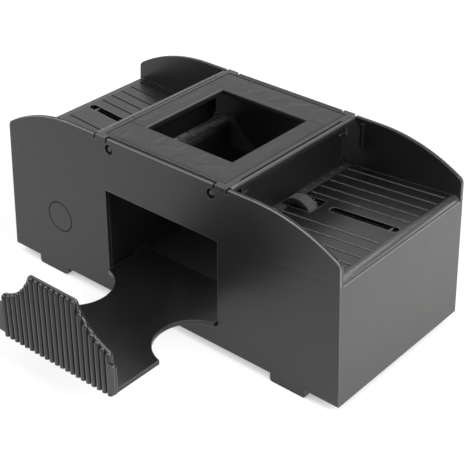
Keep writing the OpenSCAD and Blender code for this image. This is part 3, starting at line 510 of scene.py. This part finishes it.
# the edge colours below are painted highlights on convex edges
EDGE_HIGHLIGHT = gray(0.13)
CASE_FLOW = (0.6, 2.0, 0.25)
DRAWER_FLOW = (2.2, 0.3, 1)
case_mat = plastic("case_plastic", gray(0.014, 0.012), 0.35, 0.08, EDGE_HIGHLIGHT, CASE_FLOW, case_marks)
frame_mat = plastic("frame_plastic", gray(0.013, 0.012), 0.30, 0.08, EDGE_HIGHLIGHT, marks=plate_marks)
# a paler copy of the frame's plastic, as a painted highlight on the edge beads and the peg heads
highlight_mat = plastic("highlight_plastic", gray(0.06, 0.012), 0.22)
tray_mat = plastic("tray_plastic", gray(0.007, 0.012), 0.27, 0.08, gray(0.24), marks=tray_marks)
inner_mat = plastic("inner_plastic", gray(0.012), 0.34, 0.06, gray(0.05))
gate_mat = plastic("gate_plastic", gray(0.006), 0.34, edge=gray(0.04))
drawer_mat = plastic("drawer_plastic", gray(0.0085, 0.006), 0.23, 0.08, EDGE_HIGHLIGHT, DRAWER_FLOW, drawer_marks)
gear_mat = plastic("gear_plastic", gray(0.012), 0.40, edge=gray(0.05))
leather_mat = leather_shader()
rubber_mat = rubber_shader()
steel_mat = steel_shader()
cell_mat = cell_shader()


def paint(name, mat):
    slots = nodes[name].data.materials
    slots.clear()
    slots.append(mat)


by_slot = {
    "case": case_mat, "inner_plastic": inner_mat, "drawer": drawer_mat, "leatherette": leather_mat,
    "tyre_rubber": rubber_mat, "gear_plastic": gear_mat, "steel": steel_mat, "cell": cell_mat,
}
for entry in frame["record"]["subparts"]:
    paint(entry["node"], by_slot[entry["material_slot"]])
paint("top_frame", frame_mat)
for side in ("left", "right"):
    paint(side + "_gate", gate_mat)
    paint(side + "_tray", tray_mat)

# Softened edges on the moulded solids, by width in millimetres

SOFT_EDGES = {
    0.35: ("housing",),
    0.25: (
        "card_well", "card_drawer", "left_gate", "right_gate", "start_button", "base_cover", "battery_door",
    ),
    0.2: ("left_tray", "right_tray", "left_gear_bracket", "right_gear_bracket"),
    0.18: ("top_frame",),
}


def soften(name, width):
    """Rounds the sharp edges of a solid for the eye; its mesh stays."""
    obj = nodes[name]
    weld = obj.modifiers.new("weld", "WELD")
    weld.merge_threshold = 0.00001
    bevel = obj.modifiers.new("bevel", "BEVEL")
    bevel.width = width * MM
    bevel.segments = 2
    bevel.limit_method = "ANGLE"
    bevel.angle_limit = math.radians(32)
    bevel.harden_normals = True
    bevel.miter_outer = "MITER_ARC"
    bevel.use_clamp_overlap = True


for width, names in SOFT_EDGES.items():
    for name in names:
        soften(name, width)

# Pieces made in code


def add_mesh(name, verts, faces, mat, body, smooth=True):
    """Makes a piece from its points and faces, on the body that it rides on."""
    mesh = bpy.data.meshes.new(name)
    mesh.from_pydata([tuple(v) for v in verts], [], faces)
    mesh.validate()
    bm = bmesh.new()
    bm.from_mesh(mesh)
    bmesh.ops.recalc_face_normals(bm, faces=bm.faces)
    for f in bm.faces:
        f.smooth = smooth
    bm.to_mesh(mesh)
    bm.free()
    obj = bpy.data.objects.new(name, mesh)
    scene.collection.objects.link(obj)
    obj.data.materials.append(mat)
    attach(obj, body)
    return obj


def skin(faces, start, rows, count):
    """Adds the faces between rows of points that each close on themselves."""
    for j in range(rows - 1):
        for i in range(count):
            a, b = start + j * count + i, start + j * count + (i + 1) % count
            faces.append((a, b, b + count, a + count))


def cap(faces, start, count):
    """Adds one face over a row of points."""
    faces.append(tuple(start + i for i in range(count)))


def gauss(d, w):
    """A bell of width w, at the distance d from its top."""
    return math.exp(-(d / w) ** 2)


# The padded border's cross-section: fraction across the strip, height above the seat in millimetres
PAD_RINGS = [
    (-0.012, FRAME_Z - SEAT_Z + 0.1), (-0.012, -0.6), (-0.010, 0.3), (-0.004, 0.78), (0.010, 1.06),
    (0.03, 1.14), (0.055, 1.06), (0.08, 0.98), *((0.08 + 0.80 * k / 24, 0.98) for k in range(1, 25)),
    (0.895, 0.93), (0.905, 0.78), (0.915, 0.78), (0.925, 0.92), (0.945, 0.95), (0.965, 0.84),
    (0.98, 0.55), (0.988, 0.3), (0.993, 0.02),
]
# Its wrinkles: middle, direction in degrees, length, width and height, in millimetres
WRINKLES = [
    (-27.5, -41.4, 100, 3.4, 1.3, 0.62), (-21.5, -42.0, 15, 3.5, 1.2, -0.50),
    (-12.3, -32.2, 85, 3.0, 1.2, 0.55), (-9.5, -35.0, 70, 3.0, 1.3, -0.40),
    (-4.5, -36.5, 20, 4.0, 1.1, 0.40), (0.8, -32.6, 75, 3.0, 1.1, 0.50),
    (4.5, -38.0, 60, 4.0, 1.4, -0.40), (13.0, -31.8, 60, 2.6, 1.1, 0.50), (17.0, -37.5, 20, 4.0, 1.3, -0.35),
    (25.0, -36.2, 30, 5.0, 1.6, 0.30), (-14.0, 33.2, 85, 3.0, 1.1, 0.50), (-9.0, 36.0, 75, 3.0, 1.2, -0.40),
    (-1.4, 33.6, 80, 3.6, 1.1, 0.60), (4.5, 37.0, 60, 4.0, 1.4, -0.40), (10.8, 33.2, 95, 2.8, 1.1, 0.50),
    (15.5, 39.4, 40, 5.0, 1.3, 0.45), (25.8, 40.6, 60, 3.6, 1.3, 0.40), (-12.0, 40.5, 10, 6.0, 1.5, 0.35),
    (-31.5, 10, 90, 8, 1.6, 0.16), (-32.4, -6, 75, 5, 1.5, -0.16), (32, -8, 90, 9, 1.6, 0.14),
    (-32, -20, 85, 6, 1.5, 0.16), (31.5, 14, 80, 6, 1.6, -0.16),
]
WRINKLE_RISE = 1.05
PAD_CROWN = 0.16
SEAM_DEEP, SEAM_WIDE, SEAM_OFF = 0.26, 0.45, 0.2
# Height and frequency of the uneven padding and of the small unevenness in the leather
SWELL_H, SWELL_F, CREPE_H, CREPE_F = 0.07, 0.16, 0.03, 0.5


def pad_height(x, y, f, z):
    """Height above the seat of the border's point (x, y), from its cross-section (f, z)."""
    # the lip in the window and the tucked edge stay plain
    if not 0.0 < f < 0.97:
        return z
    across = math.sin(math.pi * f) ** 0.7
    h = z + PAD_CROWN * across
    # the side strips butt against the front and rear ones, in seams that fade out at both ends
    if abs(x) > WINDOW_X:
        seam = abs(abs(y) - WINDOW_Y - SEAM_OFF)
        h -= SEAM_DEEP * gauss(seam, SEAM_WIDE) * min(1, f * 6) * min(1, (1 - f) * 8)
    for wx, wy, turn, long, wide, high in WRINKLES:
        dx, dy = x - wx, y - wy
        c, s = math.cos(math.radians(turn)), math.sin(math.radians(turn))
        u, v = dx * c + dy * s, dy * c - dx * s
        ridge = gauss(u, long) * gauss(v, wide)
        fold = 0.5 * gauss(u, long) * gauss(v - wide * 1.6, wide)
        h += WRINKLE_RISE * high * across * (ridge - fold)
    h += SWELL_H * across * noise.noise(Vector((x * SWELL_F, y * SWELL_F, 1.7)))
    h += CREPE_H * noise.noise(Vector((x * CREPE_F, y * CREPE_F, 5.1)))
    return h


def leather_border():
    """The padded border: rings from the lip in the window, over the pad, to the edge tucked into the seat."""
    per_side = 190
    count = 4 * per_side
    verts, faces = [], []
    for f, z in PAD_RINGS:
        hx = WINDOW_X + f * (PAD_X - WINDOW_X)
        hy = WINDOW_Y + f * (PAD_Y - WINDOW_Y)
        corners = [(-hx, -hy), (hx, -hy), (hx, hy), (-hx, hy)]
        for (ax, ay), (bx, by) in zip(corners, corners[1:] + corners[:1]):
            for k in range(per_side):
                # more points near the mitred corners
                t = 0.5 - 0.5 * math.cos(math.pi * (k / per_side))
                x, y = ax + (bx - ax) * t, ay + (by - ay) * t
                verts.append(point(x, y, SEAT_Z + pad_height(x, y, f, z)))
    skin(faces, 0, len(PAD_RINGS), count)
    # closed underneath
    last = (len(PAD_RINGS) - 1) * count
    for k in range(count):
        faces.append((last + k, last + (k + 1) % count, (k + 1) % count, k))
    obj = add_mesh("leather_border", verts, faces, leather_mat, "casing")
    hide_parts("leather_trim")


def tread(side, sign):
    """A tyre whose tread is a grid of small square studs."""
    studs_round, studs_wide = 62, 7
    stud_h, shoulder = 0.34, 0.12
    # room beside each stud along the axle in millimetres and round it as a part of its pitch,
    # and how much of that is floor before the stud's slope begins
    margin, gap, turn_gap, floor_part = 0.25, 0.2, 0.26, 0.55
    low = ROLLER_R - stud_h
    studded = ROLLER_Y1 - ROLLER_Y0 - 2 * margin
    verts, faces = [], []
    ys = [ROLLER_Y0]
    for j in range(studs_wide):
        y0 = ROLLER_Y0 + margin + j * studded / studs_wide
        y1 = ROLLER_Y0 + margin + (j + 1) * studded / studs_wide
        ys += [y0 + gap * floor_part, y0 + gap, y1 - gap, y1 - gap * floor_part]
    ys.append(ROLLER_Y1)
    angles = []
    for i in range(studs_round):
        a0, a1 = i / studs_round, (i + 1) / studs_round
        d = (a1 - a0) * turn_gap
        angles += [(a0 + d * floor_part, False), (a0 + d, True), (a1 - d, True), (a1 - d * floor_part, False)]

    def add_point(r, a, y):
        t = 2 * math.pi * a
        verts.append(point(sign * AXLE_X + r * math.cos(t), y, AXLE_Z + r * math.sin(t)))

    for j, y in enumerate(ys):
        end = j in (0, len(ys) - 1)
        stud_row = not end and (j - 1) % 4 in (1, 2)
        for a, stud in angles:
            r = ROLLER_R if stud and stud_row else low
            if end:
                r = low - shoulder
            add_point(r, a, y)
    ring = len(angles)
    skin(faces, 0, len(ys), ring)
    # side walls down to the hub and the bore between them
    top, base = (len(ys) - 1) * ring, len(verts)
    for y in (ROLLER_Y0, ROLLER_Y1):
        for a, _ in angles:
            add_point(ROLLER_IN, a, y)
    for i in range(ring):
        k = (i + 1) % ring
        faces.append((i, k, base + k, base + i))
        faces.append((top + i, top + k, base + ring + k, base + ring + i))
        faces.append((base + i, base + k, base + ring + k, base + ring + i))
    obj = add_mesh(side + "_tread", verts, faces, rubber_mat, side + "_feed", smooth=False)
    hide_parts(side + "_roller_tyre")


def cross_screws():
    """The screws under the casing, with domed heads and cross recesses."""
    steps = 48
    # radius and height of the head's outline, then of the neck
    profile = [(0.0, 0.0), (0.45, 0.0), (0.9, 0.0), (1.5, 0.02), (2.0, 0.16), (2.35, 0.45), (2.5, 0.85)]
    profile += [(2.5, 1.8), (1.1, 1.8), (1.1, 3.0)]
    face_z = 0.3
    recess_r, recess_half, recess_deep, recess_taper = 1.6, 0.28, 0.85, 0.3
    corners = [(-SCREW_X, -SCREW_Y), (SCREW_X, -SCREW_Y), (-SCREW_X, SCREW_Y), (SCREW_X, SCREW_Y)]
    low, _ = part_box("case_screws")
    verts, faces = [], []
    for px, py in corners + [(-SCREW_MID_X, SCREW_Y), (SCREW_MID_X, SCREW_Y)]:
        start = len(verts)
        for r, z in profile:
            for k in range(steps):
                t = 2 * math.pi * k / steps
                x, y = r * math.cos(t), r * math.sin(t)
                depth = 0.0
                if z < face_z and r < recess_r and min(abs(x), abs(y)) < recess_half:
                    depth = recess_deep - recess_taper * r
                verts.append(point(px + x, py + y, low[2] / MM + z + depth))
        skin(faces, start, len(profile), steps)
    obj = add_mesh("cross_screws", verts, faces, steel_mat, "casing", smooth=False)


def peg_heads():
    """Rounded heads on the ends of the frame's four snap pegs, inside the holes of the walls."""
    steps = 32
    # radius and rise above the peg's end
    neck = PEG_R - 0.05
    profile = [(neck, -0.05), (neck, 0.1), (1.42, 0.3), (1.15, 0.48), (0.8, 0.6), (0.4, 0.66), (0.02, 0.68)]
    verts, faces = [], []
    for sx, sy in ((-1, -1), (-1, 1), (1, -1), (1, 1)):
        start = len(verts)
        for r, rise in profile:
            for k in range(steps):
                t = 2 * math.pi * k / steps
                x, z = sx * PEG_X + r * math.cos(t), PEG_Z + r * math.sin(t)
                verts.append(point(x, sy * (PEG_END + rise), z))
        skin(faces, start, len(profile), steps)
        cap(faces, start, steps)
        cap(faces, start + (len(profile) - 1) * steps, steps)
    # in the paler plastic of the painted highlight
    obj = add_mesh("peg_heads", verts, faces, highlight_mat, "casing")


def edge_bead(name, sign):
    """The rounded bead along the frame's outer edge, on the frame's ledge."""
    middle, half_w, high, half_l = 40.55, 1.08, 0.98, 45.5
    steps, lengths = 14, 24
    # distance from the end, and size there
    stations = [(0.0, 0.55), (0.25, 0.85), (0.7, 1.0)]
    straight = half_l - stations[-1][0]
    rows = [(-half_l + a, k) for a, k in stations]
    rows += [(-straight + 2 * straight * i / lengths, 1.0) for i in range(1, lengths)]
    rows += [(half_l - a, k) for a, k in reversed(stations)]
    verts, faces = [], []
    for y, k in rows:
        for i in range(steps + 1):
            t = math.pi * i / steps
            rise = high * k * math.sin(t) ** 0.8
            verts.append(point(sign * (middle + half_w * k * math.cos(t)), y, SEAT_Z + rise))
    skin(faces, 0, len(rows), steps + 1)
    cap(faces, 0, steps + 1)
    cap(faces, (len(rows) - 1) * (steps + 1), steps + 1)
    # in the paler plastic of the painted highlight
    obj = add_mesh(name, verts, faces, highlight_mat, "casing")


leather_border()
edge_bead("left_edge_bead", -1)
edge_bead("right_edge_bead", 1)
tread("left", -1)
tread("right", 1)
cross_screws()
peg_heads()

# Floor, backdrop and lights


def floor_shader():
    """White paper that glows to the camera and in reflections, and is plain paper to other light."""
    s = Shader("floor_paper")
    s.tree.nodes.remove(s.bsdf)

    def paper(albedo, glow):
        diffuse = s.add("ShaderNodeBsdfDiffuse")
        s.feed(diffuse.inputs["Color"], gray(albedo))
        light = s.add("ShaderNodeEmission")
        s.feed(light.inputs["Color"], gray(1))
        s.feed(light.inputs["Strength"], glow)
        both = s.add("ShaderNodeAddShader")
        s.link(diffuse.outputs[0], both.inputs[0])
        s.link(light.outputs[0], both.inputs[1])
        return both.outputs[0]

    def choose(factor, a, b):
        pick = s.add("ShaderNodeMixShader")
        for socket, source in zip(pick.inputs, (factor, a, b)):
            s.link(source, socket)
        return pick.outputs[0]

    path = s.add("ShaderNodeLightPath")
    # brighter in reflections to the right of the object
    shine = s.add("ShaderNodeMapRange")
    s.link(s.split()[0], shine.inputs[0])
    set_range(shine, 90, 150, 0.74, 1.42)
    seen = s.most(path.outputs["Is Camera Ray"], path.outputs["Is Transmission Ray"])
    unseen = choose(path.outputs["Is Glossy Ray"], paper(0.82, 0.0), paper(0.82, shine.outputs[0]))
    # a faint shadow where the object stands
    open_sky = s.ramp(s.near(14, False), [(0.15, 0.4), (0.52, 0.86)])
    s.link(choose(seen, unseen, paper(0.4, open_sky)), s.out.inputs[0])
    return s.mat


def add_floor():
    half = 3.0
    mesh = bpy.data.meshes.new("floor")
    corners = [(-half, -half, 0), (half, -half, 0), (half, half, 0), (-half, half, 0)]
    mesh.from_pydata(corners, [], [(0, 1, 2, 3)])
    obj = bpy.data.objects.new("floor", mesh)
    scene.collection.objects.link(obj)
    obj.data.materials.append(floor_shader())


def add_world():
    """White to the camera, dim as a light, and in reflections brighter to the left and overhead."""
    world = bpy.data.worlds.new("studio")
    scene.world = world
    world.use_nodes = True
    tree = world.node_tree
    tree.nodes.clear()

    def add(kind, *sources, **values):
        node = tree.nodes.new(kind)
        for k, v in values.items():
            setattr(node, k, v)
        for i, source in enumerate(sources):
            tree.links.new(source, node.inputs[i])
        return node

    def white(strength):
        node = add("ShaderNodeBackground")
        node.inputs["Color"].default_value = (1, 1, 1, 1)
        if isinstance(strength, (int, float)):
            node.inputs["Strength"].default_value = strength
        else:
            tree.links.new(strength, node.inputs["Strength"])
        return node.outputs[0]

    def ranged(source, *values):
        node = add("ShaderNodeMapRange", source)
        set_range(node, *values)
        return node.outputs[0]

    path = add("ShaderNodeLightPath")
    camera_ray, through = path.outputs["Is Camera Ray"], path.outputs["Is Transmission Ray"]
    seen = add("ShaderNodeMath", camera_ray, through, operation="MAXIMUM")
    direction = add("ShaderNodeSeparateXYZ", add("ShaderNodeTexCoord").outputs["Generated"])
    left = ranged(direction.outputs["X"], -0.3, -0.8, 0.66, 1.25)
    overhead = ranged(direction.outputs["Z"], 0.66, 0.76, 0.0, 3.4)
    halfway = ranged(direction.outputs["Z"], 0.5, 0.56, 0.0, 0.4)
    gloss = add("ShaderNodeMath", left, overhead, operation="ADD")
    gloss = add("ShaderNodeMath", gloss.outputs[0], halfway, operation="ADD")
    unseen = add("ShaderNodeMixShader", path.outputs["Is Glossy Ray"], white(0.35), white(gloss.outputs[0]))
    both = add("ShaderNodeMixShader", seen.outputs[0], unseen.outputs[0], white(1.0))
    add("ShaderNodeOutputWorld", both.outputs[0])


def add_light(name, at, target, size, power, tint=(1, 1, 1)):
    """A rectangular lamp; places in metres, power in watts."""
    data = bpy.data.lights.new(name, "AREA")
    data.shape = "RECTANGLE"
    data.size, data.size_y = size
    data.energy = power
    data.color = tint
    obj = bpy.data.objects.new(name, data)
    scene.collection.objects.link(obj)
    obj.location = at
    direction = Vector(target) - Vector(at)
    obj.rotation_euler = direction.to_track_quat("-Z", "Y").to_euler()


add_floor()
add_world()
add_light("key", (1.5, 0.15, 0.95), (0, 0.03, 0.05), (0.9, 0.9), 25, (1, 0.985, 0.95))
add_light("fill", (-0.9, -1.3, 0.8), (-0.05, -0.02, 0.04), (0.8, 0.5), 1.5)

scene.view_settings.view_transform = "Standard"
